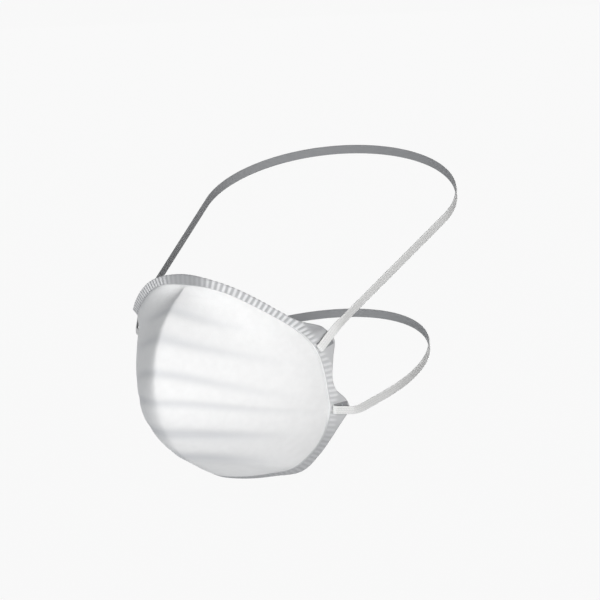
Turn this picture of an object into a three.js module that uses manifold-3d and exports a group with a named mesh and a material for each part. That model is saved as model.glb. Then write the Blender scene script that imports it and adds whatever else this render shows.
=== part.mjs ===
// Moulded cup respirator: a white fibre cup with a pressed rim flange and four strap tabs, two elastic
// head straps, and the wire staples that hold the straps to the tabs.
// Millimetres. +X is the wearer's left, -Y the front, +Z up. The origin is the middle of the face opening.

import * as THREE from 'three';
import Module from 'manifold-3d';

const wasm = await Module();
wasm.setup();

// ---- driving dimensions -------------------------------------------------------------------------------

const CUP_WALL = 2.0;
const FLANGE_WALL = 1.2;
const NOSE_THINNING = [2, 6];   // rows of the rib table between which the wall thins towards the nose
const GAP = 0.3;

const WALL_FLARE = 20;      // degrees that the wall opens outward where it meets the flange
const KEEL_REACH = 0.36;    // handle of a rib at the keel, as a share of its sideways run
const SEAM_REACH = 0.36;    // handle of a rib at the seam, as a share of its depth
const CHIN_REACH = 0.28;    // the same at the chin, where the cup is less full
const CHIN_ROWS = [13, 17]; // rows of the rib table between which it changes
const KEEL_ROUND = 0.05;    // share of a rib over which the keel is rounded

const STRAP_WIDTH = 4.6;
const STRAP_THICK = 0.9;
const LEG_RISE = 2.0;       // distance between the two legs of a strap's folded end
const BEND_BEFORE = 3.0;    // the bend at the tab's edge takes this much of the long leg
const BEND_AFTER = 8.0;     // and this much of the free run

const STAPLE_WIRE = 0.5;
const STAPLE_WIDTH = 2.6;
const STAPLE_SPLIT = 0.2;   // share of the width left open between the turned-in ends
const STAPLE_PLACE = 0.55;  // share of the tucked leg, from its fold
const HOLE_WIDTH = 1.1;
const HOLE_OVERRUN = 1.0;

const RIB_STEPS = 3;        // columns between two rows of the rib table
const CUP_STEPS = 12;
const FLANGE_STEPS = 3;
const FOLD_STEPS = 6;
const BEND_STEPS = 5;
const ARC_STEPS = 16;
const SMALL_STEP = 0.05;    // half the stretch of rib table over which a direction is measured
const LEAN_PER_MM = 0.3;    // how fast the wall's direction may turn aside from the middle plane
const EASE_PASSES = 8;      // averaging of the wall's direction along a rib

// One row per rib, from the bridge of the nose down one side to the chin. A rib runs from the keel on the
// middle plane to the seam, and the flange goes on from there.
//   seamX, seamY, seamZ   where the rib meets the flange
//   width, splay          flange width, and degrees that it turns back from the front plane
//   keelY, keelZ          where the rib starts on the keel
//   rise, fold            degrees that the rib starts upward, and back from square across
const RIB_COLUMNS = ['seamX', 'seamY', 'seamZ', 'width', 'splay', 'keelY', 'keelZ', 'rise', 'fold'];
const RIBS = [
  [0.0, -27.7, 53.6, 5.1, 0, -28.4, 53.1, 90, 38],
  [12.4, -27.2, 52.9, 4.2, 0, -30.6, 51.6, 16, 39],
  [23.1, -22.6, 48.9, 3.9, 0, -33.4, 49.8, 17, 40],
  [32.7, -16.5, 42.4, 4.0, 0, -36.6, 48.0, 17, 42],
  [40.7, -10.1, 35.8, 3.8, 0, -40.0, 46.0, 15, 43],
  [46.1, -4.1, 29.8, 4.8, 8, -43.7, 43.1, 13, 44],
  [49.3, 1.6, 23.7, 11.2, 56, -48.3, 38.6, 11, 44],
  [52.0, 4.8, 17.8, 12.4, 61, -53.2, 32.9, 9, 43],
  [54.0, 6.7, 11.0, 7.9, 62, -56.2, 26.7, 7, 42],
  [55.2, 7.9, 2.4, 4.3, 54, -58.6, 20.1, 5, 40],
  [55.3, 9.0, -4.9, 4.9, 50, -59.9, 13.1, 2, 36],
  [55.0, 10.8, -11.4, 9.7, 54, -60.3, 6.1, -1, 32],
  [54.2, 11.8, -15.8, 11.3, 56, -59.5, 0.0, -4, 27],
  [52.4, 12.2, -21.9, 8.4, 55, -57.6, -7.6, -8, 23],
  [49.2, 12.2, -29.7, 5.4, 53, -53.2, -16.9, -13, 21],
  [42.9, 11.4, -38.2, 5.0, 52, -46.0, -25.8, -20, 22],
  [33.6, 8.0, -46.6, 5.9, 53, -38.1, -33.2, -28, 24],
  [22.3, 3.8, -49.5, 4.6, 56, -29.7, -38.0, -42, 24],
  [11.1, -1.7, -50.8, 4.3, 59, -23.2, -41.4, -62, 24],
  [0.0, -6.3, -50.5, 4.2, 62, -18.0, -44.3, -90, 24],
];
const LAST_RIB = RIBS.length - 1;

// These columns pass through the middle plane instead of turning back at it.
const THROUGH_COLUMNS = ['seamX', 'keelY', 'keelZ', 'rise'];

// Soft grooves across the keel: height on the keel, how far the groove falls towards the seam, spread, depth,
// and the share of the rib where each fades out.
const GROOVES = [
  { keelZ: 44.8, fall: 3.0, spread: 2.3, depth: 0.45, fadeFrom: 0.10, fadeTo: 0.75 },
  { keelZ: 33.0, fall: 6.0, spread: 3.0, depth: 0.50, fadeFrom: 0.10, fadeTo: 0.90 },
  { keelZ: 16.5, fall: 7.0, spread: 2.6, depth: 0.50, fadeFrom: 0.10, fadeTo: 0.90 },
  { keelZ: 1.0, fall: 1.0, spread: 2.4, depth: 0.45, fadeFrom: 0.30, fadeTo: 1.00 },
  { keelZ: -16.5, fall: 0.0, spread: 3.6, depth: 0.65, fadeFrom: 0.25, fadeTo: 0.90 },
  { keelZ: -32.0, fall: 0.0, spread: 3.6, depth: 0.60, fadeFrom: 0.25, fadeTo: 0.90 },
];
const GROOVE_CENTRE = new THREE.Vector3(0, 10, 0);

// One row per strap, millimetres and degrees.
//   station                  rib row of the tab
//   foldAt, foldUp, seat     place of the fold on the tab: out from the seam, up along it, above its face
//   legTurn, legLength       the long leg on the tab: its angle up from straight out, and its run
//   tuckTurn, tuckLength     the same for the tucked leg under it
//   tilt                     slope of the plane that the strap lies in beyond the tab
//   halfWidth, halfDepth     half ellipse round the back of the head
//   ahead                    from the tab to the middle of that ellipse
const STRAPS = [
  {
    name: 'upper',
    station: 7.1, foldAt: 2.7, foldUp: 0.3, seat: 0.36,
    legTurn: 31, legLength: 14.0, tuckTurn: 9, tuckLength: 8.0,
    tilt: 23, halfWidth: 73.3, halfDepth: 52, ahead: 99,
  },
  {
    name: 'lower',
    station: 11.8, foldAt: 2.8, foldUp: 0.5, seat: 0.43,
    legTurn: -2, legLength: 12.0, tuckTurn: 14, tuckLength: 7.0,
    tilt: 7.5, halfWidth: 69, halfDepth: 87, ahead: 37,
  },
];

// ---- tables to curves ---------------------------------------------------------------------------------

const radians = THREE.MathUtils.degToRad;

function cubic(a, b, c, d, t) {
  const linear = c - a;
  const square = 2 * a - 5 * b + 4 * c - d;
  const cube = -a + 3 * b - 3 * c + d;
  return b + 0.5 * t * (linear + t * (square + t * cube));
}

// The value of a rib column at any station, by Catmull-Rom. Past either end the rows are reflected.
function ribValue(column, station) {
  const at = RIB_COLUMNS.indexOf(column);
  const through = THROUGH_COLUMNS.includes(column);
  const value = (i) => {
    const inside = i < 0 ? -i : i > LAST_RIB ? 2 * LAST_RIB - i : i;
    const end = i < 0 ? 0 : LAST_RIB;
    return inside !== i && through ? 2 * RIBS[end][at] - RIBS[inside][at] : RIBS[inside][at];
  };
  const i = Math.min(Math.max(Math.floor(station), 0), LAST_RIB - 1);
  return cubic(value(i - 1), value(i), value(i + 1), value(i + 2), station - i);
}

function seamPoint(station) {
  return new THREE.Vector3(
    ribValue('seamX', station), ribValue('seamY', station), ribValue('seamZ', station));
}

function keelPoint(station) {
  return new THREE.Vector3(0, ribValue('keelY', station), ribValue('keelZ', station));
}

// Square to the seam in the front view, pointing away from the cup.
function seamOutward(station) {
  const along = seamPoint(station + SMALL_STEP).sub(seamPoint(station - SMALL_STEP));
  return new THREE.Vector3(-along.z, 0, along.x).normalize();
}

// ---- the cup ------------------------------------------------------------------------------------------

function grooveDepth(keelZ, share) {
  let depth = 0;
  for (const groove of GROOVES) {
    const across = (keelZ - groove.keelZ + groove.fall * share) / groove.spread;
    const fade = 1 - THREE.MathUtils.smoothstep(share, groove.fadeFrom, groove.fadeTo);
    depth += groove.depth * fade * Math.exp(-across * across);
  }
  return depth;
}

// A point of the cup's outer face: a cubic Bezier rib from the keel (share 0) to the seam (share 1). Its
// run along X starts at once, and its run back and up starts softly, which rounds the keel.
function cupPoint(station, share) {
  const keel = keelPoint(station);
  const seam = seamPoint(station);
  const above = keelPoint(Math.max(station - 0.5, 0));
  const up = above.sub(keelPoint(Math.min(station + 0.5, LAST_RIB))).normalize();
  const back = new THREE.Vector3(0, up.z, -up.y);
  const rise = radians(ribValue('rise', station));
  const fold = radians(ribValue('fold', station)) * Math.cos(rise) ** 2;
  const start = new THREE.Vector3(Math.cos(rise) * Math.cos(fold), 0, 0);
  start.addScaledVector(back, Math.cos(rise) * Math.sin(fold)).addScaledVector(up, Math.sin(rise));
  const end = seamOutward(station).multiplyScalar(Math.sin(radians(WALL_FLARE)));
  end.y += Math.cos(radians(WALL_FLARE));
  const span = seam.clone().sub(keel);
  const first = start.multiplyScalar(KEEL_REACH * Math.hypot(span.x, span.z));
  const chin = THREE.MathUtils.smoothstep(station, ...CHIN_ROWS);
  const reach = THREE.MathUtils.lerp(SEAM_REACH, CHIN_REACH, chin);
  const second = span.clone().addScaledVector(end, -reach * Math.abs(span.y));
  const run = (t) => new THREE.Vector3()
    .addScaledVector(first, 3 * (1 - t) ** 2 * t)
    .addScaledVector(second, 3 * (1 - t) * t ** 2)
    .addScaledVector(span, t ** 3);
  const soft = (Math.hypot(share, KEEL_ROUND) - KEEL_ROUND) / (Math.hypot(1, KEEL_ROUND) - KEEL_ROUND);
  const sideways = run(share);
  const point = run(soft).setX(sideways.x).add(keel);
  const inward = GROOVE_CENTRE.clone().sub(point).normalize();
  return point.addScaledVector(inward, grooveDepth(keel.z, share));
}

// The flange's own axes at a station: out from the seam, up along it, and the normal of its front face.
function flangeFrame(station) {
  const splay = radians(ribValue('splay', station));
  const out = seamOutward(station).multiplyScalar(Math.cos(splay));
  out.y += Math.sin(splay);
  const along = seamPoint(station - SMALL_STEP).sub(seamPoint(station + SMALL_STEP));
  const normal = out.clone().cross(along).normalize();
  const up = normal.clone().cross(out);
  return { origin: seamPoint(station), out, up, normal };
}

function flangePoint(station, share) {
  const frame = flangeFrame(station);
  return frame.origin.addScaledVector(frame.out, share * ribValue('width', station));
}

function geometryFrom(points, triangles) {
  const geometry = new THREE.BufferGeometry();
  const numbers = points.flatMap((point) => point.toArray());
  geometry.setAttribute('position', new THREE.Float32BufferAttribute(numbers, 3));
  geometry.setIndex(triangles);
  return geometry;
}

// The direction that the wall is thick along at each point: the normals, averaged along each rib so that the
// inner face doesn't fold behind a sharp bend, and leaning no more than LEAN_PER_MM for each millimetre from
// the middle plane so that it doesn't cross that plane.
function wallDirections(points, normals, id, rows, columns) {
  let ways = points.map((_, i) => new THREE.Vector3().fromBufferAttribute(normals, i));
  for (let pass = 0; pass < EASE_PASSES; pass += 1) {
    const eased = ways.map((way) => way.clone());
    for (let row = 1; row < rows; row += 1) {
      for (let column = 0; column < columns; column += 1) {
        const around = ways[id(column, row - 1)].clone().add(ways[id(column, row + 1)]);
        eased[id(column, row)].multiplyScalar(2).add(around).normalize();
      }
    }
    eased.forEach((way, i) => {
      const most = LEAN_PER_MM * Math.abs(points[i].x);
      way.setX(THREE.MathUtils.clamp(way.x, -most, most)).normalize();
    });
    ways = eased;
  }
  return ways;
}

// The cup's wall thins towards the seam, and towards the nose.
function wallAt(station, row) {
  const lofty = row < CUP_STEPS - 1 ? THREE.MathUtils.smoothstep(station, ...NOSE_THINNING) : 0;
  return THREE.MathUtils.lerp(FLANGE_WALL, CUP_WALL, lofty);
}

// The whole sheet goes round from the nose down the left side and up the right. The two sides share the
// keel. It is thickened inward along its vertex normals and closed round the rim.
function cupGeometry() {
  const half = LAST_RIB * RIB_STEPS;
  const columns = 2 * half;
  const rows = CUP_STEPS + FLANGE_STEPS;
  const outer = [];
  const walls = [];
  const stationAt = (column) => Math.min(column, columns - column) / RIB_STEPS;
  const onColumn = (column, row) => {
    const point = row <= CUP_STEPS
      ? cupPoint(stationAt(column), row / CUP_STEPS)
      : flangePoint(stationAt(column), (row - CUP_STEPS) / FLANGE_STEPS);
    return column <= half ? point : point.setX(-point.x);
  };
  for (let column = 0; column <= half; column += 1) {
    outer.push(onColumn(column, 0));
    walls.push(wallAt(stationAt(column), 0));
  }
  for (let row = 1; row <= rows; row += 1) {
    for (let column = 0; column < columns; column += 1) {
      outer.push(onColumn(column, row));
      walls.push(wallAt(stationAt(column), row));
    }
  }
  const id = (column, row) => {
    const around = column % columns;
    return row === 0 ? Math.min(around, columns - around) : half + 1 + (row - 1) * columns + around;
  };
  const faces = [];
  for (let row = 0; row < rows; row += 1) {
    for (let column = 0; column < columns; column += 1) {
      const a = id(column, row);
      const b = id(column + 1, row);
      const c = id(column + 1, row + 1);
      const d = id(column, row + 1);
      faces.push(a, b, c, a, c, d);
    }
  }
  const sheet = geometryFrom(outer, faces);
  sheet.computeVertexNormals();
  const ways = wallDirections(outer, sheet.getAttribute('normal'), id, rows, columns);
  const inner = outer.map((point, i) => point.clone().addScaledVector(ways[i], -walls[i]));
  const count = outer.length;
  const triangles = [...faces];
  for (let i = 0; i < faces.length; i += 3) {
    triangles.push(count + faces[i], count + faces[i + 2], count + faces[i + 1]);
  }
  for (let column = 0; column < columns; column += 1) {
    const a = id(column, rows);
    const b = id(column + 1, rows);
    triangles.push(a, b, count + b, a, count + b, count + a);
  }
  return geometryFrom([...outer, ...inner], triangles);
}

// ---- straps and staples -------------------------------------------------------------------------------

// A closed bar of rectangular section along stations { point, across, out }, capped at both ends.
function barGeometry(stations, width, thick) {
  const points = [];
  for (const { point, across, out } of stations) {
    for (const [a, b] of [[-0.5, -0.5], [0.5, -0.5], [0.5, 0.5], [-0.5, 0.5]]) {
      points.push(point.clone().addScaledVector(across, a * width).addScaledVector(out, b * thick));
    }
  }
  const triangles = [0, 2, 1, 0, 3, 2];
  for (let i = 0; i < stations.length - 1; i += 1) {
    for (let k = 0; k < 4; k += 1) {
      const a = 4 * i + k;
      const b = 4 * i + ((k + 1) % 4);
      triangles.push(a, b, b + 4, a, b + 4, a + 4);
    }
  }
  const end = points.length - 4;
  triangles.push(end, end + 1, end + 2, end, end + 2, end + 3);
  return geometryFrom(points, triangles);
}

// Directions and places on a strap's tab. Heights are above the tab's front face.
function tabLayout(strap) {
  const frame = flangeFrame(strap.station);
  const turned = (degrees) => new THREE.Vector3()
    .addScaledVector(frame.out, Math.cos(radians(degrees)))
    .addScaledVector(frame.up, Math.sin(radians(degrees)));
  const tuckHeight = strap.seat + STRAP_THICK / 2;
  const fold = frame.origin.clone()
    .addScaledVector(frame.out, strap.foldAt)
    .addScaledVector(frame.up, strap.foldUp)
    .addScaledVector(frame.normal, tuckHeight);
  return { normal: frame.normal, leg: turned(strap.legTurn), tuck: turned(strap.tuckTurn), fold };
}

function tuckedEnd(strap) {
  const { normal, leg, tuck, fold } = tabLayout(strap);
  const stations = [];
  const add = (point, out, travel) => {
    stations.push({ point, out, across: out.clone().cross(travel).normalize() });
  };
  const down = normal.clone().negate();
  add(fold.clone().addScaledVector(tuck, strap.tuckLength), down, tuck.clone().negate());
  const radius = LEG_RISE / 2;
  for (let i = 0; i <= FOLD_STEPS; i += 1) {
    const turn = Math.PI * i / FOLD_STEPS;
    const away = tuck.clone().lerp(leg, i / FOLD_STEPS).normalize();
    const out = normal.clone().multiplyScalar(-Math.cos(turn)).addScaledVector(away, -Math.sin(turn));
    const travel = normal.clone().multiplyScalar(Math.sin(turn)).addScaledVector(away, -Math.cos(turn));
    const point = fold.clone().addScaledVector(normal, radius).addScaledVector(out, radius);
    add(point, out, travel);
  }
  return stations;
}

// The long leg leaves the tab, bends, runs straight to the side of the head and round behind it.
function headRun(strap) {
  const { normal, leg, fold } = tabLayout(strap);
  const top = fold.clone().addScaledVector(normal, LEG_RISE);
  const edge = top.clone().addScaledVector(leg, strap.legLength);
  const level = (x, depth) => new THREE.Vector3(
    x, edge.y + depth * Math.cos(radians(strap.tilt)), edge.z + depth * Math.sin(radians(strap.tilt)));
  const reach = Math.hypot(edge.x / strap.halfWidth, strap.ahead / strap.halfDepth);
  const touch = Math.acos(1 / reach) - Math.atan2(strap.ahead / strap.halfDepth, edge.x / strap.halfWidth);
  const arc = [];
  for (let i = 0; i <= ARC_STEPS; i += 1) {
    const angle = THREE.MathUtils.lerp(touch, Math.PI / 2, i / ARC_STEPS);
    arc.push(level(strap.halfWidth * Math.cos(angle), strap.ahead + strap.halfDepth * Math.sin(angle)));
  }
  const before = edge.clone().addScaledVector(leg, -BEND_BEFORE);
  const after = edge.clone().lerp(arc[0], BEND_AFTER / edge.distanceTo(arc[0]));
  const bend = new THREE.QuadraticBezierCurve3(before, edge, after);
  const points = [...bend.getPoints(BEND_STEPS), ...arc];
  const last = points.length - 1;
  return points.map((point, i) => {
    const travel = points[Math.min(i + 1, last)].clone().sub(points[Math.max(i - 1, 0)]).normalize();
    if (i === last) travel.set(-1, 0, 0);
    const flat = new THREE.Vector3(travel.y, -travel.x, 0).normalize();
    const out = normal.clone().lerp(flat, Math.min(i / BEND_STEPS, 1));
    const across = out.clone().cross(travel).normalize();
    return { point, across, out: travel.clone().cross(across) };
  });
}

function mirrored(stations) {
  const flip = new THREE.Vector3(-1, 1, 1);
  return stations.map(({ point, across, out }) => ({
    point: point.clone().multiply(flip),
    across: across.clone().multiply(flip),
    out: out.clone().multiply(flip),
  }));
}

function strapGeometry(strap) {
  const left = [...tuckedEnd(strap), ...headRun(strap)];
  const right = mirrored(left).slice(0, -1).reverse();
  return barGeometry([...left, ...right], STRAP_WIDTH, STRAP_THICK);
}

// A staple lies across the tucked leg: crown on the strap, legs through it and the tab, ends turned in.
function staplePath(strap) {
  const { normal, tuck, fold } = tabLayout(strap);
  const across = normal.clone().cross(tuck);
  const crown = STRAP_THICK / 2 + GAP + STAPLE_WIRE / 2;
  const clinch = -(STRAP_THICK / 2 + strap.seat + FLANGE_WALL + GAP + STAPLE_WIRE / 2);
  const middle = fold.clone().addScaledVector(tuck, STAPLE_PLACE * strap.tuckLength);
  const at = (side, height) => middle.clone()
    .addScaledVector(across, side * STAPLE_WIDTH)
    .addScaledVector(normal, height);
  return { normal, tuck, across, at, crown, clinch };
}

function wireGeometry(points, tuck) {
  const stations = points.map((point, i) => {
    const back = points[Math.max(i - 1, 0)];
    const ahead = points[Math.min(i + 1, points.length - 1)];
    const into = point.clone().sub(back).normalize();
    const from = ahead.clone().sub(point).normalize();
    const travel = into.clone().add(from).normalize();
    const stretch = 1 / Math.max(travel.dot(i === 0 ? from : into), 0.5);
    return { point, across: tuck, out: travel.clone().cross(tuck).multiplyScalar(stretch) };
  });
  return barGeometry(stations, STAPLE_WIRE, STAPLE_WIRE);
}

function stapleGeometry(strap) {
  const { tuck, at, crown, clinch } = staplePath(strap);
  const half = [at(0.5, crown), at(0.5, clinch), at(STAPLE_SPLIT / 2, clinch)];
  const other = [at(-STAPLE_SPLIT / 2, clinch), at(-0.5, clinch), at(-0.5, crown)];
  return wireGeometry([...other, ...half], tuck);
}

// ---- cutting ------------------------------------------------------------------------------------------

function toSolid(geometry) {
  return new wasm.Manifold(new wasm.Mesh({
    numProp: 3,
    vertProperties: new Float32Array(geometry.getAttribute('position').array),
    triVerts: new Uint32Array(geometry.getIndex().array),
  }));
}

function fromSolid(solid) {
  const mesh = solid.getMesh();
  const geometry = new THREE.BufferGeometry();
  geometry.setAttribute('position', new THREE.BufferAttribute(new Float32Array(mesh.vertProperties), 3));
  geometry.setIndex(new THREE.BufferAttribute(new Uint32Array(mesh.triVerts), 1));
  return geometry;
}

function mirrorGeometry(geometry) {
  const position = geometry.getAttribute('position');
  const points = [];
  for (let i = 0; i < position.count; i += 1) {
    points.push(new THREE.Vector3(-position.getX(i), position.getY(i), position.getZ(i)));
  }
  return geometryFrom(points, [...geometry.getIndex().array].reverse());
}

// The two holes of a staple, on both sides of the wearer's face.
function holeSolids(strap) {
  const { normal, tuck, across, at, crown, clinch } = staplePath(strap);
  const ends = [clinch - HOLE_OVERRUN, crown];
  const holes = [-0.5, 0.5].map((side) => {
    const stations = ends.map((height) => ({ point: at(side, height), across: tuck, out: across }));
    return barGeometry(stations, HOLE_WIDTH, HOLE_WIDTH);
  });
  return [...holes, ...holes.map(mirrorGeometry)].map(toSolid);
}

function pierced(geometry, holes) {
  return fromSolid(holes.reduce((solid, hole) => solid.subtract(hole), toSolid(geometry)));
}

// ---- the assembly -------------------------------------------------------------------------------------

const fibre = new THREE.MeshStandardMaterial({ color: '#f2f2f0', roughness: 0.9, metalness: 0 });
const elastic = new THREE.MeshStandardMaterial({ color: '#e6e6e4', roughness: 0.8, metalness: 0 });
const wire = new THREE.MeshStandardMaterial({ color: '#b9bcc0', roughness: 0.35, metalness: 1 });

const group = new THREE.Group();

function addPiece(name, geometry, material) {
  const piece = new THREE.Mesh(geometry, material);
  piece.name = name;
  group.add(piece);
}

const holes = STRAPS.map(holeSolids);
addPiece('filter_cup', pierced(cupGeometry(), holes.flat()), fibre);
STRAPS.forEach((strap, i) => {
  addPiece(`${strap.name}_strap`, pierced(strapGeometry(strap), holes[i]), elastic);
  const staple = stapleGeometry(strap);
  addPiece(`${strap.name}_left_staple`, staple, wire);
  addPiece(`${strap.name}_right_staple`, mirrorGeometry(staple), wire);
});

export default group;
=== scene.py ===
import bpy
import numpy as np
from mathutils import Matrix, Vector


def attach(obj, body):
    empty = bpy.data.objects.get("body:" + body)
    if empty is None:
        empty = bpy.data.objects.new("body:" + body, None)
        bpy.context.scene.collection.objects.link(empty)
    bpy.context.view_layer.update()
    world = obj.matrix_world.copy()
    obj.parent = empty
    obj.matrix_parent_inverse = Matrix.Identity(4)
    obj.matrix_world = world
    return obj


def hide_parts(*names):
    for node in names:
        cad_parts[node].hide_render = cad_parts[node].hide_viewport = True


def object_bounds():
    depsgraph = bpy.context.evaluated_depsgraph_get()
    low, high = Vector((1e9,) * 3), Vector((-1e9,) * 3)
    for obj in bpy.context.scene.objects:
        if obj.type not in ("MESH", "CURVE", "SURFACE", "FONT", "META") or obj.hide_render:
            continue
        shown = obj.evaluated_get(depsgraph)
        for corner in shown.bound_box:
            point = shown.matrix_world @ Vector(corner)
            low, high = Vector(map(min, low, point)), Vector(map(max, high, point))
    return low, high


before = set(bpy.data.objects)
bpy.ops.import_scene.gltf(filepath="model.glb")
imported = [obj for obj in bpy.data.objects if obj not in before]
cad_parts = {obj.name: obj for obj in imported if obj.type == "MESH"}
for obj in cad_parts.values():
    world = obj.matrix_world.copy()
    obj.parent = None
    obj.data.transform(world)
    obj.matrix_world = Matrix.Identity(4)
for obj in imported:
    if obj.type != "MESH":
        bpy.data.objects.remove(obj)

CAD_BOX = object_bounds()
MM = 0.001

# ---- sizes of the real thing, millimetres --------------------------------------------------------

CUP_WALL = 2.0
FLANGE_WALL = 1.2
WALL_FLARE = 20             # degrees that the wall opens outward where it meets the flange
KEEL_REACH = 0.36           # handle of a rib at the keel, as a share of its sideways run
SEAM_REACH = 0.36           # handle of a rib at the seam, as a share of its depth
CHIN_REACH = 0.28           # the same at the chin, where the cup is less full
CHIN_ROWS = (13, 17)        # the rows between which the one passes into the other
KEEL_ROUND = 0.05           # share of a rib over which the keel is rounded
RIB_RUN = 60                # a rib's length, in round figures

BAR_PITCH = 2.75            # embossed bars along the flange
BAR_HEIGHT = 0.38
BAR_START = 1.25            # from the seam
BAR_LENGTH = 5.0            # the longest that a bar gets, on the tabs
BEAD_AT = 0.55              # weld bead along the seam: middle, spread and height
BEAD_SPREAD = 0.42
BEAD_HEIGHT = 0.36
BAR_EDGE = 0.3              # softness of a bar's inner end, and its start where there is no bead
WIDE_FLANGE = (5.6, 9.0)    # widths between which the bars begin to fade outwards
RIM_ROUND = 0.35            # how far the cut rim bulges past its two faces
GATHER_HEIGHT = 0.04        # faint gathers that run from the bars into the cup
GATHER_REACH = 2.2

STRAP_WIDTH = 4.6
STRAP_THICK = 0.9
LEG_RISE = 2.0              # distance between the two legs of a strap's folded end
BEND_BEFORE = 3.0
BEND_AFTER = 8.0
CORDS = 4                   # rubber cords across a strap
YARN_PITCH = 1.5            # covering yarns along a strap
YARN_RELIEF = 0.06
YARN_SHARE = 0.45           # of the relief; the rest is the cords' own roundness
YARN_SLANT = 0.8            # pitches that a yarn leans across one cord
CORD_ROUND = 0.92           # 0 flat, 1 half round
EDGE_HALF = 0.06            # half the band's thickness at its very edge
END_SHARE = 0.45            # of the thickness at a cut end
END_TAPER = 1.2             # the stretch that would add a whole thickness to that
STRAP_STEP = 0.36           # between neighbouring rings of a strap

STAPLE_RADIUS = 0.25
STAPLE_WIDTH = 2.6
STAPLE_SPLIT = 0.2
STAPLE_PLACE = 0.55
STAPLE_CORNER = 0.45
STAPLE_NIP = 0.7            # share of the wire's radius at its cut ends

COLUMNS_PER_BAR = 8
CUP_ROWS = 24
BEAD_ROWS = 6
FLANGE_ROWS = 11
RIM_ROWS = 4
STRAP_FACE_POINTS = 29      # across one face of a strap
PATH_POINTS = 60            # along each part of a strap's path, before it is cut into even steps
LOOP_POINTS = 400           # along its half ellipse
WIRE_SIDES = 12
CORNER_POINTS = 7           # round each corner of a staple
SEAM_SAMPLES = 4001         # for measuring the seam's length
SMALL_STEP = 0.05           # half the stretch of rib table over which a direction is measured
LEAN_PER_MM = 0.3           # how fast the wall's direction may turn aside from the middle plane
EASE_PASSES = 64            # averaging of the wall's direction along a rib

# One row per rib, from the bridge of the nose down one side to the chin: where it meets the flange, the
# flange's width and splay, where it starts on the keel, and its rise and fold there in degrees.
RIB_COLUMNS = ["seam_x", "seam_y", "seam_z", "width", "splay", "keel_y", "keel_z", "rise", "fold"]
RIBS = np.array([
    [0.0, -27.7, 53.6, 5.1, 0, -28.4, 53.1, 90, 38],
    [12.4, -27.2, 52.9, 4.2, 0, -30.6, 51.6, 16, 39],
    [23.1, -22.6, 48.9, 3.9, 0, -33.4, 49.8, 17, 40],
    [32.7, -16.5, 42.4, 4.0, 0, -36.6, 48.0, 17, 42],
    [40.7, -10.1, 35.8, 3.8, 0, -40.0, 46.0, 15, 43],
    [46.1, -4.1, 29.8, 4.8, 8, -43.7, 43.1, 13, 44],
    [49.3, 1.6, 23.7, 11.2, 56, -48.3, 38.6, 11, 44],
    [52.0, 4.8, 17.8, 12.4, 61, -53.2, 32.9, 9, 43],
    [54.0, 6.7, 11.0, 7.9, 62, -56.2, 26.7, 7, 42],
    [55.2, 7.9, 2.4, 4.3, 54, -58.6, 20.1, 5, 40],
    [55.3, 9.0, -4.9, 4.9, 50, -59.9, 13.1, 2, 36],
    [55.0, 10.8, -11.4, 9.7, 54, -60.3, 6.1, -1, 32],
    [54.2, 11.8, -15.8, 11.3, 56, -59.5, 0.0, -4, 27],
    [52.4, 12.2, -21.9, 8.4, 55, -57.6, -7.6, -8, 23],
    [49.2, 12.2, -29.7, 5.4, 53, -53.2, -16.9, -13, 21],
    [42.9, 11.4, -38.2, 5.0, 52, -46.0, -25.8, -20, 22],
    [33.6, 8.0, -46.6, 5.9, 53, -38.1, -33.2, -28, 24],
    [22.3, 3.8, -49.5, 4.6, 56, -29.7, -38.0, -42, 24],
    [11.1, -1.7, -50.8, 4.3, 59, -23.2, -41.4, -62, 24],
    [0.0, -6.3, -50.5, 4.2, 62, -18.0, -44.3, -90, 24],
])
THROUGH_COLUMNS = ["seam_x", "keel_y", "keel_z", "rise"]
LAST_RIB = len(RIBS) - 1

# Where the pressing, the wall and the flange's painted shade change, between two places in the rib table.
# the flange is painted darkest across the bridge, as shade
BRIDGE_ROWS = (0.2, 1.6)
BAR_GROWTH_ROWS = (0.4, 1.5)
BAR_END_ROWS = (16.5, 18.0)
BEAD_GROWTH_ROWS = (4.4, 5.6)
BEAD_ROOM_ROWS = (4.5, 6.0)         # the bars draw back here, to make room for the bead
UPPER_TAB_ROWS = (5.8, 7.2)
PAST_TABS_ROWS = (12.4, 13.6)
# from here the flange is painted darker towards the chin, as shade
CHIN_SHADE_ROWS = (12.4, 14.5)
GATHER_ROWS = (5.0, 6.5)
FULL_WALL_ROWS = (2, 6)             # the wall is thin at the bridge and full past these
THICKENING = (1, 9)                 # millimetres inside the seam over which the wall thickens

# Soft grooves: height on the keel, how far each falls along its rib, spread, depth, and the share of the
# rib where each fades out.
GROOVES = [
    (44.8, 3.0, 2.3, 0.45, 0.10, 0.75),
    (33.0, 6.0, 3.0, 0.50, 0.10, 0.90),
    (16.5, 7.0, 2.6, 0.50, 0.10, 0.90),
    (1.0, 1.0, 2.4, 0.45, 0.30, 1.00),
    (-16.5, 0.0, 3.6, 0.65, 0.25, 0.90),
    (-32.0, 0.0, 3.6, 0.60, 0.25, 0.90),
]
GROOVE_CENTRE = np.array([0.0, 10.0, 0.0])

STRAPS = {
    "upper": dict(station=7.1, fold_at=2.7, fold_up=0.3, seat=0.36, leg_turn=31, leg_length=14.0,
                  tuck_turn=9, tuck_length=8.0, tilt=23, half_width=73.3, half_depth=52, ahead=99),
    "lower": dict(station=11.8, fold_at=2.8, fold_up=0.5, seat=0.43, leg_turn=-2, leg_length=12.0,
                  tuck_turn=14, tuck_length=7.0, tilt=7.5, half_width=69, half_depth=87, ahead=37),
}

# ---- small maths on whole arrays -----------------------------------------------------------------


def unit(vectors):
    """Each vector over its own length."""
    vectors = np.asarray(vectors, float)
    return vectors / np.maximum(np.linalg.norm(vectors, axis=-1, keepdims=True), 1e-12)


def smoothstep(low, high, x):
    """0 below low, 1 above high, and 3t^2 - 2t^3 of the way t between them."""
    t = np.clip((np.asarray(x, float) - low) / (high - low), 0, 1)
    return t * t * (3 - 2 * t)


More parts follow.
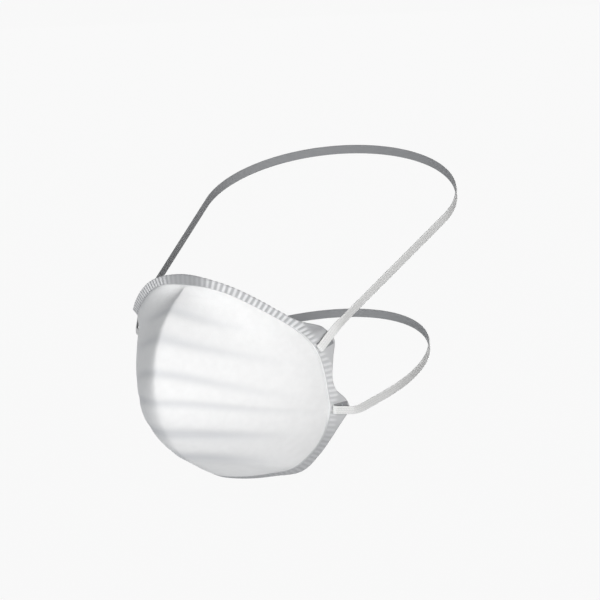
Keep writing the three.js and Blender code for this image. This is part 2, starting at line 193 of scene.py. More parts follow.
def join(x, y, z):
    """Three coordinate arrays as one array of points."""
    return np.stack(np.broadcast_arrays(x, y, z), axis=-1).astype(float)


def rib_value(column, station):
    """The rib table's column at any station, by Catmull-Rom; past either end the rows are reflected, and
    columns that pass through the middle plane are reflected through their end value."""
    values = RIBS[:, RIB_COLUMNS.index(column)]
    before, after = values[1], values[-2]
    if column in THROUGH_COLUMNS:
        before, after = 2 * values[0] - before, 2 * values[-1] - after
    padded = np.concatenate([[before], values, [after]])
    station = np.asarray(station, float)
    cell = np.clip(np.floor(station).astype(int), 0, LAST_RIB - 1)
    t = station - cell
    a, b, c, d = (padded[cell + k] for k in range(4))
    square, cube = 2 * a - 5 * b + 4 * c - d, -a + 3 * b - 3 * c + d
    return b + 0.5 * t * (c - a + t * (square + t * cube))


def seam_point(station):
    return join(rib_value("seam_x", station), rib_value("seam_y", station), rib_value("seam_z", station))


def keel_point(station):
    return join(0.0, rib_value("keel_y", station), rib_value("keel_z", station))


def seam_along(station):
    return seam_point(station + SMALL_STEP) - seam_point(station - SMALL_STEP)


def seam_outward(station):
    """Square to the seam in the front view, pointing away from the cup."""
    along = seam_along(station)
    return unit(join(-along[..., 2], 0 * along[..., 0], along[..., 0]))


# ---- the cup -------------------------------------------------------------------------------------


def groove_depth(keel_z, share):
    """The grooves' Gaussians over the keel height, each falling and fading along the rib."""
    depth = 0.0
    for height, fall, spread, deep, fade_from, fade_to in GROOVES:
        fade = 1 - smoothstep(fade_from, fade_to, share)
        depth = depth + deep * fade * np.exp(-((keel_z - height + fall * share) / spread) ** 2)
    return depth


def cup_surface(station, share):
    """Outer face of the cup. Each rib is a cubic Bezier from the keel (share 0) to the seam (share 1). It
    leaves the keel at the table's rise and fold and meets the seam at the wall's flare. The run along X
    uses the share itself, and the run back and up uses a share that starts softly, which rounds the keel.
    The grooves then press the face towards one centre behind it."""
    station, share = np.broadcast_arrays(np.asarray(station, float), np.asarray(share, float))
    keel, seam = keel_point(station), seam_point(station)
    up = unit(keel_point(np.maximum(station - 0.5, 0)) - keel_point(np.minimum(station + 0.5, LAST_RIB)))
    back = join(0.0, up[..., 2], -up[..., 1])
    rise = np.radians(rib_value("rise", station))
    fold = np.radians(rib_value("fold", station)) * np.cos(rise) ** 2
    start = join(np.cos(rise) * np.cos(fold), 0.0, 0.0)
    start += back * (np.cos(rise) * np.sin(fold))[..., None] + up * np.sin(rise)[..., None]
    flare = np.radians(WALL_FLARE)
    end = seam_outward(station) * np.sin(flare) + np.array([0.0, np.cos(flare), 0.0])
    span = seam - keel
    first = start * (KEEL_REACH * np.hypot(span[..., 0], span[..., 2]))[..., None]
    reach = SEAM_REACH + (CHIN_REACH - SEAM_REACH) * smoothstep(*CHIN_ROWS, station)
    second = span - end * (reach * np.abs(span[..., 1]))[..., None]

    def run(t):
        t = t[..., None]
        return 3 * (1 - t) ** 2 * t * first + 3 * (1 - t) * t ** 2 * second + t ** 3 * span

    soft = (np.hypot(share, KEEL_ROUND) - KEEL_ROUND) / (np.hypot(1, KEEL_ROUND) - KEEL_ROUND)
    point = keel + run(soft)
    point[..., 0] = run(share)[..., 0]
    inward = unit(GROOVE_CENTRE - point)
    return point + inward * groove_depth(keel[..., 2], share)[..., None]


def flange_frame(station):
    """The flange's own axes at a station: its seam point, out from the seam, up along it, and its normal."""
    splay = np.radians(rib_value("splay", station))[..., None]
    out = seam_outward(station) * np.cos(splay) + np.array([0.0, 1.0, 0.0]) * np.sin(splay)
    normal = unit(np.cross(out, -seam_along(station)))
    return seam_point(station), out, np.cross(normal, out), normal


def seam_stations():
    """Stations at even steps of the seam's own length, COLUMNS_PER_BAR to a bar, and that length."""
    fine = np.linspace(0, LAST_RIB, SEAM_SAMPLES)
    steps = np.linalg.norm(np.diff(seam_point(fine), axis=0), axis=1)
    length = np.concatenate([[0], np.cumsum(steps)])
    columns = round(length[-1] / BAR_PITCH) * COLUMNS_PER_BAR
    places = np.linspace(0, length[-1], columns + 1)
    return np.interp(places, length, fine), places


def grid_normals(points):
    """Mean of the four corner normals at each point of a grid, from unit edges to its neighbours. The far
    sides of the grid repeat their own last edges."""
    right = np.diff(points, axis=1)
    down = np.diff(points, axis=0)
    right = unit(right)
    down = unit(down)
    after = np.concatenate([right, right[:, -1:]], axis=1)
    before = np.concatenate([right[:, :1], right], axis=1)
    below = np.concatenate([down, down[-1:]], axis=0)
    above = np.concatenate([down[:1], down], axis=0)
    total = sum(unit(np.cross(a, b)) for a in (after, before) for b in (below, above))
    return unit(total)


def flange_relief(station, place, distance, width):
    """Height of the pressing on the flange, and its tone, 0 pressed grey to 1 lofty white. The tone is
    partly the real fibre, greyer where it is pressed flat, and partly painted light: painted highlight on
    the bars and the bead, and painted shade across the bridge and past the lower tab. Bars stand square to
    the seam at
    BAR_PITCH, as a cosine along it. On the narrow stretch beside the nose they run from the seam out through
    the rim. From the upper tab on they are lower, where the flange is wide they fade outwards, and past the
    lower tab they halve and end before the middle of the chin. Across the bridge there is hardly a bar. The
    weld bead is a Gaussian ridge beside the seam, from just above the upper tab down, and low past the lower
    one."""
    wave = 0.5 + 0.5 * np.cos(2 * np.pi * (place / BAR_PITCH - 0.5))
    bar = smoothstep(0.2, 0.8, wave)
    begin = BAR_EDGE + (BAR_START - BAR_EDGE) * smoothstep(*BEAD_ROOM_ROWS, station)
    stop = begin + BAR_LENGTH
    fade = 0.6 * BAR_LENGTH * smoothstep(*WIDE_FLANGE, width)
    window = smoothstep(begin - BAR_EDGE, begin + BAR_EDGE, distance)
    window = window * (1 - smoothstep(stop - fade - 0.4, stop, distance))
    calm = smoothstep(*UPPER_TAB_ROWS, station)
    past_tabs = smoothstep(*PAST_TABS_ROWS, station)
    strength = 0.12 + 0.88 * smoothstep(*BAR_GROWTH_ROWS, station)
    strength = strength * (1 - 0.4 * calm) * (1 - 0.5 * past_tabs)
    strength = strength * (1 - smoothstep(*BAR_END_ROWS, station))
    bars = bar * window * strength
    bead = np.exp(-((distance - BEAD_AT) / BEAD_SPREAD) ** 2)
    bead = bead * smoothstep(*BEAD_GROWTH_ROWS, station) * (1 - 0.7 * past_tabs)
    bridge = 1 - smoothstep(*BRIDGE_ROWS, station)
    chin = smoothstep(*CHIN_SHADE_ROWS, station)
    # Painted shade: the ground tone is darkest across the bridge and darker past the lower tab. Painted
    # highlight: the bars and the bead are lighter.
    ground = (0.2 + 0.15 * calm) * (1 - bridge) * (1 - 0.8 * chin)
    loft_and_painted_light = ground + (0.65 - 0.15 * calm) * bars + 0.6 * bead
    return BAR_HEIGHT * bars + BEAD_HEIGHT * bead, np.clip(loft_and_painted_light, 0, 1)


def wall_direction(points, normal):
    """The direction that the wall is thick along: the normals, averaged with their neighbours along each
    rib EASE_PASSES times so that the inner face doesn't fold behind a sharp bend, and leaning no more than
    LEAN_PER_MM for each millimetre from the middle plane so that it doesn't cross that plane."""
    way = normal.copy()
    way[:3, [0, -1]] = way[3, [0, -1]]
    most = LEAN_PER_MM * points[..., 0]
    for _ in range(EASE_PASSES):
        way[1:-1] = unit(way[:-2] + 2 * way[1:-1] + way[2:])
        way[..., 0] = np.clip(way[..., 0], -most, most)
    return unit(way)


def build_half_sheet():
    """The wearer's left half of the cup with its flange, as matching outer and inner grids. Rows run from
    the keel to the seam (close together at both ends), over the bead and out to the rim, whose edge
    close_sheet rounds; columns run from nose to chin. The inner grid lies one wall behind the face, along
    wall_direction.
    The marks are how pressed each point is, its tone (how lofty the fibre is, with painted highlight and
    painted shade on the flange) and how dented it is, which sets the grooves' painted shade."""
    station, place = seam_stations()
    share = 0.5 - 0.5 * np.cos(np.pi * np.arange(CUP_ROWS + 1) / CUP_ROWS)
    cup = cup_surface(station[None, :], share[:, None])
    seam, out, _, _ = flange_frame(station)
    width = rib_value("width", station)
    bead = BAR_START * np.arange(1, BEAD_ROWS + 1)[:, None] / BEAD_ROWS
    rest = np.arange(1, FLANGE_ROWS + 1)[:, None] / FLANGE_ROWS
    distance = np.concatenate([np.broadcast_to(bead, (BEAD_ROWS, len(width))),
                               BAR_START + rest * (width - BAR_START)])
    flange = seam + out * distance[..., None]
    smooth = np.concatenate([cup, flange])
    normal = grid_normals(smooth)
    normal[0, :, 0] = 0
    normal[:, [0, -1], 0] = 0
    normal = unit(normal)

    past_seam = np.concatenate([(share[:, None] - 1) * RIB_RUN + 0 * width, distance])
    thick = smoothstep(*THICKENING, -past_seam) * smoothstep(*FULL_WALL_ROWS, station)
    wall = FLANGE_WALL + (CUP_WALL - FLANGE_WALL) * thick
    height, loft_and_painted_light = flange_relief(station, place, np.maximum(past_seam, 0), width)
    gather = GATHER_HEIGHT * np.cos(2 * np.pi * (place / BAR_PITCH - 0.5))
    gather = gather * np.exp(np.minimum(past_seam, 0) / GATHER_REACH)
    gather = gather * (past_seam <= 0) * smoothstep(*GATHER_ROWS, station)
    pressed = smoothstep(-0.6, 0.4, past_seam)
    height = np.where(past_seam > 0, height, gather)
    outer = smooth + normal * height[..., None]
    behind = wall_direction(smooth, normal)
    inner = smooth - behind * (wall - 0.5 * height)[..., None]
    # The dent mark also sets the grooves' painted shade, on both faces.
    dent = groove_depth(rib_value("keel_z", station)[None, :], share[:, None])
    dent = np.concatenate([dent, np.zeros_like(distance)])
    marks = np.stack([pressed, np.where(past_seam > 0, loft_and_painted_light, 1 - pressed), dent])
    return outer, inner, marks


def close_sheet(outer, inner, marks):
    """Both halves, both faces and the rim as one closed mesh. The right half mirrors the left; points on
    the middle plane and along the keel are shared, and the rim is half an ellipse from face to face.
    Returns points, quads and, for each point, how pressed it is, its tone (how lofty, with painted highlight
    and painted shade on the flange) and how dented it is."""
    columns = outer.shape[1]
    turn = np.pi * np.arange(1, RIM_ROWS) / RIM_ROWS
    edge_out = unit(outer[-1] - outer[-2])
    middle, half = (outer[-1] + inner[-1]) / 2, (outer[-1] - inner[-1]) / 2
    rim = [middle + half * np.cos(a) + edge_out * RIM_ROUND * np.sin(a) for a in turn]
    strip = np.concatenate([outer, np.array(rim), inner[::-1]])
    side_marks = np.concatenate([marks, np.repeat(marks[:, -1:], len(rim), axis=1), marks[:, ::-1]], axis=1)
    total = strip.shape[0]
    left = np.arange(total * columns).reshape(total, columns)
    shared = np.zeros((total, columns), bool)
    shared[:, [0, -1]] = True
    shared[[0, -1]] = True
    right = np.where(shared, left, left.size + np.cumsum(~shared).reshape(shared.shape) - 1)
    strip = strip.copy()
    strip[shared, 0] = 0.0
    points = np.concatenate([strip.reshape(-1, 3), strip[~shared] * [-1, 1, 1]])
    values = [np.concatenate([m.reshape(-1), m[~shared]]) for m in side_marks]

    def quads(ids):
        return np.stack([ids[:-1, :-1], ids[:-1, 1:], ids[1:, 1:], ids[1:, :-1]], axis=-1).reshape(-1, 4)

    faces = np.concatenate([quads(left)[:, ::-1], quads(right)])
    return points, faces, values


# ---- straps and staples --------------------------------------------------------------------------


def tab_layout(strap):
    """Directions and the fold's place on a strap's tab, heights above the tab's face."""
    origin, out, up, normal = flange_frame(np.float64(strap["station"]))

    def turned(degrees):
        return out * np.cos(np.radians(degrees)) + up * np.sin(np.radians(degrees))

    fold = origin + out * strap["fold_at"] + up * strap["fold_up"]
    fold = fold + normal * (strap["seat"] + STRAP_THICK / 2)
    return normal, turned(strap["leg_turn"]), turned(strap["tuck_turn"]), fold


def strap_path(strap):
    """Middle line of a strap at even steps, with its face direction: along the tucked leg, round the
    fold, along the long leg, through the bend at the tab's edge, straight to the side of the head and
    round half an ellipse behind it, then mirrored back."""
    normal, leg, tuck, fold = tab_layout(strap)
    radius = LEG_RISE / 2
    t = np.linspace(0, 1, PATH_POINTS)[:, None]
    points = [fold + tuck * strap["tuck_length"] * (1 - t)]
    faces = [np.broadcast_to(-normal, (PATH_POINTS, 3))]

    away = unit(tuck * (1 - t) + leg * t)
    face = -normal * np.cos(np.pi * t) - away * np.sin(np.pi * t)
    points.append(fold + normal * radius + face * radius)
    faces.append(face)

    top = fold + normal * LEG_RISE
    edge = top + leg * strap["leg_length"]
    tilt = np.radians(strap["tilt"])
    slant = strap["ahead"] / strap["half_depth"]
    touch = np.arccos(1 / np.hypot(edge[0] / strap["half_width"], slant))
    touch -= np.arctan2(slant, edge[0] / strap["half_width"])
    angle = touch + (np.pi / 2 - touch) * np.linspace(0, 1, LOOP_POINTS)
    depth = strap["ahead"] + strap["half_depth"] * np.sin(angle)
    around = join(strap["half_width"] * np.cos(angle), edge[1] + depth * np.cos(tilt),
                  edge[2] + depth * np.sin(tilt))
    before = edge - leg * BEND_BEFORE
    after = edge + unit(around[0] - edge) * BEND_AFTER
    points.append(top + (before - top) * t)
    faces.append(np.broadcast_to(normal, (PATH_POINTS, 3)))
    points.append(before * (1 - t) ** 2 + edge * 2 * t * (1 - t) + after * t ** 2)
    flat = unit([around[0][1] - edge[1], edge[0] - around[0][0], 0.0])
    faces.append(unit(normal * (1 - smoothstep(0, 1, t)) + flat * smoothstep(0, 1, t)))
    points.append(after + (around[0] - after) * t)
    faces.append(np.broadcast_to(flat, (PATH_POINTS, 3)))
    travel = np.gradient(around, axis=0)
    points.append(around)
    faces.append(unit(join(travel[:, 1], -travel[:, 0], 0.0)))

    line, face = np.concatenate(points), np.concatenate(faces)
    line = np.concatenate([line, line[-2::-1] * [-1, 1, 1]])
    face = np.concatenate([face, face[-2::-1] * [-1, 1, 1]])
    length = np.concatenate([[0], np.cumsum(np.linalg.norm(np.diff(line, axis=0), axis=1))])
    even = np.linspace(0, length[-1], int(length[-1] / STRAP_STEP) + 1)
    line = np.stack([np.interp(even, length, line[:, k]) for k in range(3)], axis=-1)
    face = unit(np.stack([np.interp(even, length, face[:, k]) for k in range(3)], axis=-1))
    return line, face, even


def braid_height(across, along):
    """Relief of a braided elastic, 0 to 1: each rubber cord is a rounded crown across the band, and the
    yarns that cover it slant one way and then the other from cord to cord."""
    place = (across / STRAP_WIDTH + 0.5) * CORDS
    cord = np.clip(np.floor(place), 0, CORDS - 1)
    local = place - cord - 0.5
    crown = np.sqrt(np.clip(1 - (2 * local) ** 2 * CORD_ROUND, 0, 1))
    lean = np.where(cord % 2 == 0, 1.0, -1.0) * local * YARN_SLANT
    yarn = 0.5 + 0.5 * np.cos(2 * np.pi * (along / YARN_PITCH + lean))
    return crown * (1 - YARN_SHARE + YARN_SHARE * yarn)


def build_strap(strap):
    """The strap as one band: a flat rounded section carried along its path, with the braid's relief on both
    faces. Ring points run across the outer face and back across the inner face. Returns the rings, the
    braid's relief, which points lie on the inner face, and each point's place along and across."""
    line, face, along = strap_path(strap)
    travel = unit(np.gradient(line, axis=0))
    side = unit(np.cross(face, travel))
    face = np.cross(travel, side)
    t = np.linspace(-1, 1, STRAP_FACE_POINTS)
    across = STRAP_WIDTH / 2 * (0.75 * t + 0.25 * np.sin(np.pi * t / 2))
    half = (STRAP_THICK / 2 - YARN_RELIEF) * np.sqrt(1 - np.abs(t) ** 7)
    half[[0, -1]] = EDGE_HALF
    top = np.concatenate([across, across[::-1]])
    lift = np.concatenate([half, -half[::-1]])
    sign = np.sign(lift)
    relief = braid_height(top[None, :], along[:, None] + np.where(sign > 0, 0, YARN_PITCH / 2))
    edge = 1 - np.abs(top / (STRAP_WIDTH / 2)) ** 8
    ends = np.minimum(1, END_SHARE + np.minimum(along, along[-1] - along) / END_TAPER)[:, None]
    offset = (lift + sign * YARN_RELIEF * relief * edge) * ends
    points = line[:, None] + side[:, None] * top[None, :, None] + face[:, None] * offset[..., None]
    return points, relief, np.broadcast_to(sign < 0, relief.shape), along, top


def staple_path(strap):
    """Middle line of a staple: its crown across the tucked leg, legs through leg and tab, ends turned in,
    and quarter circles at the corners."""
    normal, _, tuck, fold = tab_layout(strap)
    across = np.cross(normal, tuck)
    crown = STRAP_THICK / 2 + STAPLE_RADIUS
    clinch = -(STRAP_THICK / 2 + strap["seat"] + FLANGE_WALL + STAPLE_RADIUS)
    middle = fold + tuck * STAPLE_PLACE * strap["tuck_length"]
    corners = [(-STAPLE_SPLIT / 2, clinch), (-0.5, clinch), (-0.5, crown), (0.5, crown), (0.5, clinch),
               (STAPLE_SPLIT / 2, clinch)]
    corners = np.array([middle + across * side * STAPLE_WIDTH + normal * high for side, high in corners])
    t = np.linspace(0, 1, CORNER_POINTS)[:, None]
    path = [corners[:1]]
    for i in range(1, len(corners) - 1):
        into = corners[i] + unit(corners[i - 1] - corners[i]) * STAPLE_CORNER
        leave = corners[i] + unit(corners[i + 1] - corners[i]) * STAPLE_CORNER
        path.append(into * (1 - t) ** 2 + corners[i] * 2 * t * (1 - t) + leave * t ** 2)
    path.append(corners[-1:])
    return np.concatenate(path), tuck


def build_staple(strap):
    """A round wire: a circle carried along the staple's path, with its ends nipped a little thinner."""
    path, tuck = staple_path(strap)
    travel = unit(np.gradient(path, axis=0))
    other = np.cross(travel, tuck)
    angle = 2 * np.pi * np.arange(WIRE_SIDES) / WIRE_SIDES
    radius = np.full(len(path), STAPLE_RADIUS)
    radius[[0, -1]] *= STAPLE_NIP
    ring = tuck * np.cos(angle)[:, None] + other[:, None] * np.sin(angle)[:, None]
    return path[:, None] + ring * radius[:, None, None]


# ---- meshes --------------------------------------------------------------------------------------


def signed_volume(points, faces):
    """Sum of the fans' signed tetrahedra: positive where the faces point outwards."""
    a, b, c, d = (points[faces[:, k]] for k in range(4))
    return (np.einsum("ij,ij->i", a, np.cross(b, c)) + np.einsum("ij,ij->i", a, np.cross(c, d))).sum()


def make_piece(name, points, faces, extra_faces=(), marks=None, uv=None):
    """A smooth mesh object from points in millimetres and quads, with per-point marks and a UV per point."""
    faces = faces if signed_volume(points, faces) > 0 else faces[:, ::-1]
    polygons = faces.tolist() + [list(face) for face in extra_faces]
    mesh = bpy.data.meshes.new(name)
    mesh.from_pydata((points * MM).tolist(), [], polygons)
    for key, values in (marks or {}).items():
        mesh.attributes.new(key, "FLOAT", "POINT").data.foreach_set("value", values.astype(np.float32))
    if uv is not None:
        corner = np.zeros(len(mesh.loops), np.int32)
        mesh.loops.foreach_get("vertex_index", corner)
        layer = mesh.uv_layers.new(name="band")
        layer.data.foreach_set("uv", uv[corner].astype(np.float32).ravel())
    mesh.polygons.foreach_set("use_smooth", np.ones(len(mesh.polygons), bool))
    mesh.validate()
    mesh.update()
    piece = bpy.data.objects.new(name, mesh)
    bpy.context.scene.collection.objects.link(piece)
    return piece


def tube_faces(rings, around):
    """Quads between neighbouring rings, and the point numbers ring by ring, from which end caps can be made.
    """
    ids = np.arange(rings * around).reshape(rings, around)
    turned = np.roll(ids, -1, axis=1)
    quads = np.stack([ids[:-1], turned[:-1], turned[1:], ids[1:]], axis=-1).reshape(-1, 4)
    return quads, ids


def make_tube(name, rings, marks=None, uv=None):
    """A closed band or wire from rings of points, capped with one face at each end."""
    quads, ids = tube_faces(*rings.shape[:2])
    points = rings.reshape(-1, 3)
    outward = signed_volume(points, quads) > 0
    caps = [ids[0][::-1], ids[-1]] if outward else [ids[0], ids[-1][::-1]]
    return make_piece(name, points, quads, [cap.tolist() for cap in caps], marks, uv)


# ---- materials -----------------------------------------------------------------------------------


def linear(hex_colour):
    """An sRGB hex colour as linear RGBA."""
    srgb = np.array([int(hex_colour[i:i + 2], 16) for i in (1, 3, 5)]) / 255
    low, high = srgb / 12.92, ((srgb + 0.055) / 1.055) ** 2.4
    return (*np.where(srgb <= 0.04045, low, high), 1.0)


def new_material(name):
    material = bpy.data.materials.new(name)
    material.use_nodes = True
    tree = material.node_tree
    return material, tree, tree.nodes["Principled BSDF"]


def add(tree, kind, links=None, **settings):
    """Adds a node with its settings; links maps an input's name or index to an output socket or a value."""
    node = tree.nodes.new(kind)
    for key, value in settings.items():
        setattr(node, key, value)
    for key, value in (links or {}).items():
        if isinstance(value, bpy.types.NodeSocket):
            tree.links.new(value, node.inputs[key])
        else:
            node.inputs[key].default_value = value
    return node


def cup_fibre():
    """Moulded spun-laid polyester nonwoven, matt white: fine felted fibre on the cup, and pressed by the
    hot rim tool on the flange, where it is denser, greyer and a little smoother. On top of that grey the
    flange carries painted shade and painted highlight, and the grooves carry painted shade."""
    material, tree, shader = new_material("moulded_polyester_nonwoven")
    place = add(tree, "ShaderNodeTexCoord").outputs["Object"]
    pressed = add(tree, "ShaderNodeAttribute", attribute_name="pressed").outputs["Fac"]
    loft_and_painted_light = add(tree, "ShaderNodeAttribute", attribute_name="loft_and_painted_light").outputs["Fac"]
    dent = add(tree, "ShaderNodeAttribute", attribute_name="dent").outputs["Fac"]

    # Fibre tufts of about 1 mm (real fibres are 0.03 mm, too fine to show), and faint clouds of web weight
    # some 4 mm wide. The grooves are painted greyer by their depth, as painted shade.
    tufts = add(tree, "ShaderNodeTexNoise", {"Vector": place, "Scale": 1100.0, "Detail": 4.0,
                                             "Roughness": 0.65, "Distortion": 0.6})
    clouds = add(tree, "ShaderNodeTexNoise", {"Vector": place, "Scale": 250.0, "Detail": 2.0})
    weight = add(tree, "ShaderNodeMapRange", {"Value": clouds.outputs["Fac"], "From Min": 0.35,
                                              "From Max": 0.65})
    lofty = add(tree, "ShaderNodeMix", {0: weight.outputs["Result"], 6: linear("#f3f3f3"),
                                        7: linear("#f6f6f6")}, data_type="RGBA")
    depth = add(tree, "ShaderNodeMapRange", {"Value": dent, "From Max": 0.6})
    # Painted shade: the grooves are greyer where they are deeper.
    groove_painted_shade = add(tree, "ShaderNodeMix", {0: depth.outputs["Result"], 6: lofty.outputs[2],
                                          7: linear("#dddee0")}, data_type="RGBA")
    # Flange tone: the real pressed fibre's grey, lightened by painted highlight on the bars and the bead and
    # darkened by painted shade at the bridge and chin.
    pressed_grey_and_painted_light = add(tree, "ShaderNodeMix", {0: loft_and_painted_light, 6: linear("#a3a4a6"), 7: linear("#f3f3f4")},
                data_type="RGBA")
    colour = add(tree, "ShaderNodeMix", {0: pressed, 6: groove_painted_shade.outputs[2], 7: pressed_grey_and_painted_light.outputs[2]},
                 data_type="RGBA")
    tree.links.new(colour.outputs[2], shader.inputs["Base Color"])
    rough = add(tree, "ShaderNodeMapRange", {"Value": pressed, "To Min": 0.92, "To Max": 0.7})
    tree.links.new(rough.outputs["Result"], shader.inputs["Roughness"])
    bump = add(tree, "ShaderNodeBump", {"Height": tufts.outputs["Fac"], "Strength": 0.25,
                                        "Distance": 0.0003})
    tree.links.new(bump.outputs["Normal"], shader.inputs["Normal"])
    shader.inputs["IOR"].default_value = 1.5
    shader.inputs["Specular IOR Level"].default_value = 0.25
    shader.inputs["Sheen Weight"].default_value = 0.05
    shader.inputs["Sheen Roughness"].default_value = 0.5
    return material


def braided_elastic():
    """Braided elastic of textured polyester yarn over rubber cords, off-white and matt: the yarns catch the
    light and the gaps between cords stay darker. The inner face, which lies on the head, is painted dark
    grey as shadow, so that each tucked end beneath its long leg looks shaded."""
    material, tree, shader = new_material("braided_polyester_elastic")
    yarn = add(tree, "ShaderNodeAttribute", attribute_name="yarn").outputs["Fac"]
    band = add(tree, "ShaderNodeTexCoord").outputs["UV"]

    # The UV map counts centimetres along and across the band, so the fuzz of the textured yarn is about
    # 0.5 mm, coarser than the real one. The braid itself is in the mesh, and its relief is the yarn mark.
    fuzz = add(tree, "ShaderNodeTexNoise", {"Vector": band, "Scale": 22.0, "Detail": 3.0, "Roughness": 0.7})
    lit = add(tree, "ShaderNodeMapRange", {"Value": yarn, "From Min": 0.35, "From Max": 0.95})
    colour = add(tree, "ShaderNodeMix", {0: lit.outputs["Result"], 6: linear("#e4e4e3"),
                                         7: linear("#f6f6f5")}, data_type="RGBA")
    speck = add(tree, "ShaderNodeMapRange", {"Value": fuzz.outputs["Fac"], "From Min": 0.3, "From Max": 0.7,
                                             "To Min": 0.9, "To Max": 1.0})
    toned = add(tree, "ShaderNodeMix", {0: 1.0, 6: colour.outputs[2], 7: speck.outputs["Result"]},
                data_type="RGBA", blend_type="MULTIPLY")
    # Painted shadow: the whole inner face is dark grey, so that each tucked end beneath its long leg looks
    # shaded.
    shaded_inner_face = add(tree, "ShaderNodeAttribute", attribute_name="shaded_inner_face").outputs["Fac"]
    inner_face_painted_shadow = add(tree, "ShaderNodeMix", {0: shaded_inner_face, 6: toned.outputs[2], 7: linear("#8e8f91")},
                data_type="RGBA")
    tree.links.new(inner_face_painted_shadow.outputs[2], shader.inputs["Base Color"])
    bump = add(tree, "ShaderNodeBump", {"Height": fuzz.outputs["Fac"], "Strength": 0.1, "Distance": 0.00005})
    tree.links.new(bump.outputs["Normal"], shader.inputs["Normal"])
    shader.inputs["Roughness"].default_value = 0.85
    shader.inputs["Specular IOR Level"].default_value = 0.3
    shader.inputs["Sheen Weight"].default_value = 0.2
    return material


def galvanised_wire():
    """Drawn steel staple wire, zinc plated: a cold grey metal with dull clouds of about 1 mm in the zinc,
    which vary its tone and its gloss."""
    material, tree, shader = new_material("galvanised_steel_wire")
    place = add(tree, "ShaderNodeTexCoord").outputs["Object"]
    zinc = add(tree, "ShaderNodeTexNoise", {"Vector": place, "Scale": 900.0, "Detail": 3.0})
    colour = add(tree, "ShaderNodeMix", {0: zinc.outputs["Fac"], 6: linear("#a9adb1"), 7: linear("#c9cccf")},
                 data_type="RGBA")
    tree.links.new(colour.outputs[2], shader.inputs["Base Color"])
    rough = add(tree, "ShaderNodeMapRange", {"Value": zinc.outputs["Fac"], "To Min": 0.25, "To Max": 0.45})
    tree.links.new(rough.outputs["Result"], shader.inputs["Roughness"])
    shader.inputs["Metallic"].default_value = 1.0
    return material


# ---- the pieces ----------------------------------------------------------------------------------

points, faces, (pressed, loft_and_painted_light, dent) = close_sheet(*build_half_sheet())
cup_marks = {"pressed": pressed, "loft_and_painted_light": loft_and_painted_light, "dent": dent}
cup = make_piece("cup_shell", points, faces, marks=cup_marks)
cup.data.materials.append(cup_fibre())
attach(cup, "root")
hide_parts("filter_cup")

elastic, wire = braided_elastic(), galvanised_wire()
for name, strap in STRAPS.items():
    rings, relief, shaded_inner_face, along, across = build_strap(strap)
    band_uv = np.stack(np.broadcast_arrays(along[:, None] / 10, across[None, :] / 10), axis=-1)
    marks = {"yarn": relief.reshape(-1), "shaded_inner_face": shaded_inner_face.reshape(-1)}
    band = make_tube(f"{name}_strap_braid", rings, marks, band_uv.reshape(-1, 2))
    band.data.materials.append(elastic)
    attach(band, "root")
    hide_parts(f"{name}_strap")
    for side, flip in (("left", 1), ("right", -1)):
        staple = make_tube(f"{name}_{side}_staple_wire", build_staple(strap) * [flip, 1, 1])
        staple.data.materials.append(wire)
        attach(staple, "root")
        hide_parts(f"{name}_{side}_staple")

# ---- floor, light and camera ---------------------------------------------------------------------

FLOOR_BELOW = 0.09          # metres from the lowest point down to the floor
FLOOR_RADIUS = 9.0
DOME_TOP = 88               # degrees; the dome is open above that
DOME_SIDES = 96
DOME_RINGS = 25


def staged(name, points, polygons, material):
    """A mesh object with its material, which is no part of the respirator."""
    mesh = bpy.data.meshes.new(name)
    mesh.from_pydata(points.tolist(), [], polygons)
    mesh.materials.append(material)
    thing = bpy.data.objects.new(name, mesh)
    bpy.context.scene.collection.objects.link(thing)
    return thing


# Matt white paint that gives off an even light, so that the lamps leave no edges on it.
paint, _, paint_shader = new_material("pale_studio_paint")
paint_shader.inputs["Base Color"].default_value = linear("#0c0c0c")
paint_shader.inputs["Roughness"].default_value = 0.95
paint_shader.inputs["Specular IOR Level"].default_value = 0.0
paint_shader.inputs["Emission Color"].default_value = linear("#ffffff")
paint_shader.inputs["Emission Strength"].default_value = 0.94

# A round floor and, on its edge, a dome of the same even white, so that no horizon shows. The dome is
# seen by the camera only, and it lets the lights through.
turn = 2 * np.pi * np.arange(DOME_SIDES) / DOME_SIDES
climb = np.radians(np.linspace(0, DOME_TOP, DOME_RINGS))[:, None]
dome = FLOOR_RADIUS * join(np.cos(climb) * np.cos(turn), np.cos(climb) * np.sin(turn), np.sin(climb))
dome[..., 2] += CAD_BOX[0].z - FLOOR_BELOW
floor = staged("floor", dome[0], [list(range(DOME_SIDES))], paint)
floor.visible_diffuse = False
wall, _ = tube_faces(DOME_RINGS, DOME_SIDES)
backdrop = staged("backdrop", dome.reshape(-1, 3), wall.tolist(), paint)
backdrop.visible_diffuse = backdrop.visible_glossy = backdrop.visible_shadow = False

# Softboxes, aimed at the origin: width, height and distance in metres, power in watts.
SOFTBOXES = {
    "key_softbox": dict(wide=0.9, high=1.1, watts=36, azimuth=45, elevation=8, distance=1.8),
    "back_softbox": dict(wide=2.2, high=1.8, watts=30, azimuth=205, elevation=18, distance=1.9),
}


def towards(azimuth, elevation):
    """The direction at an azimuth, counted from the front to the wearer's left, and an elevation, both in
    radians."""
    flat = np.cos(elevation)
    return Vector((np.sin(azimuth) * flat, -np.cos(azimuth) * flat, np.sin(elevation)))


for name, box in SOFTBOXES.items():
    light = bpy.data.lights.new(name, "AREA")
    light.shape, light.size, light.size_y = "RECTANGLE", box["wide"], box["high"]
    light.energy = box["watts"]
    back = towards(*np.radians([box["azimuth"], box["elevation"]]))
    softbox = bpy.data.objects.new(name, light)
    facing = back.to_track_quat("Z", "Y").to_matrix().to_4x4()
    softbox.matrix_world = Matrix.Translation(back * box["distance"]) @ facing
    bpy.context.scene.collection.objects.link(softbox)

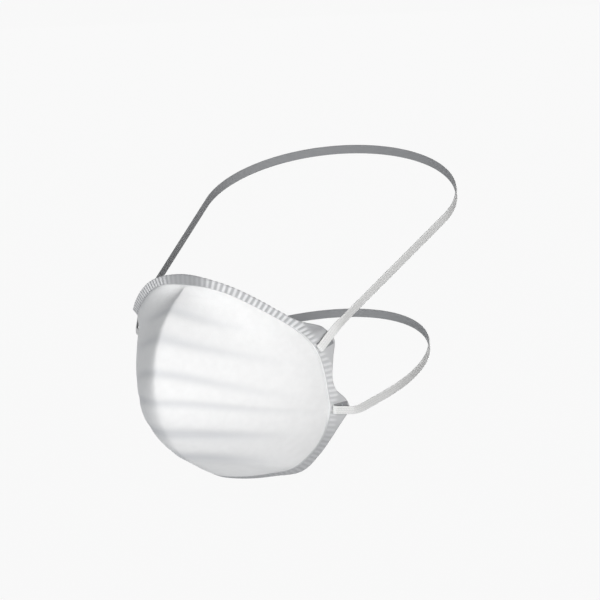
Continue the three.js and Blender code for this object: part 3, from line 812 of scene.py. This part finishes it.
# A white tent, open on the wearer's left: soft light from the right and from the pale table below.
world = bpy.data.worlds.new("studio")
bpy.context.scene.world = world
world.use_nodes = True
sky = world.node_tree.nodes["Background"]
way = add(world.node_tree, "ShaderNodeTexCoord").outputs["Generated"]
heading = add(world.node_tree, "ShaderNodeSeparateXYZ", {"Vector": way})
wing = add(world.node_tree, "ShaderNodeMapRange", {"Value": heading.outputs["X"], "From Min": -0.05,
                                                   "From Max": 0.31, "To Min": 1.0, "To Max": 0.0})
depth = add(world.node_tree, "ShaderNodeMapRange", {"Value": heading.outputs["Z"], "From Min": -0.9,
                                                    "From Max": -0.2, "To Min": 1.1, "To Max": 0.40})
strength = add(world.node_tree, "ShaderNodeMath", {0: wing.outputs["Result"], 1: depth.outputs["Result"]},
               operation="MULTIPLY")
world.node_tree.links.new(strength.outputs["Value"], sky.inputs["Strength"])
sky.inputs["Color"].default_value = (0.96, 0.98, 1.0, 1.0)

bpy.context.scene.view_settings.view_transform = "Standard"

# The camera stands 2 m from a point between the wearer's ears, and is aimed a little beside and below it.
EARS = Vector((0.0, 74.0, 34.0)) * MM
AIM_RIGHT, AIM_DOWN = 1.35 * MM, 11.1 * MM
STAND_OFF = 2.0
FOCAL_LENGTH = 231.6
AZIMUTH, ELEVATION, ROLL = np.radians([33.1, 12.8, -3.63])
back = towards(AZIMUTH, ELEVATION)
level = Vector((np.cos(AZIMUTH), np.sin(AZIMUTH), 0.0))
rise = back.cross(level)
right = level * np.cos(ROLL) + rise * np.sin(ROLL)
upward = rise * np.cos(ROLL) - level * np.sin(ROLL)
stand = EARS + back * STAND_OFF
aim = EARS + right * AIM_RIGHT - upward * AIM_DOWN
away = (stand - aim).normalized()
right = (right - away * right.dot(away)).normalized()
upward = away.cross(right)
lens = bpy.data.cameras.new("camera")
lens.sensor_width, lens.lens = 36.0, FOCAL_LENGTH
camera = bpy.data.objects.new("camera", lens)
camera.matrix_world = Matrix.Translation(stand) @ Matrix((right, upward, away)).transposed().to_4x4()
bpy.context.scene.collection.objects.link(camera)
bpy.context.scene.camera = camera
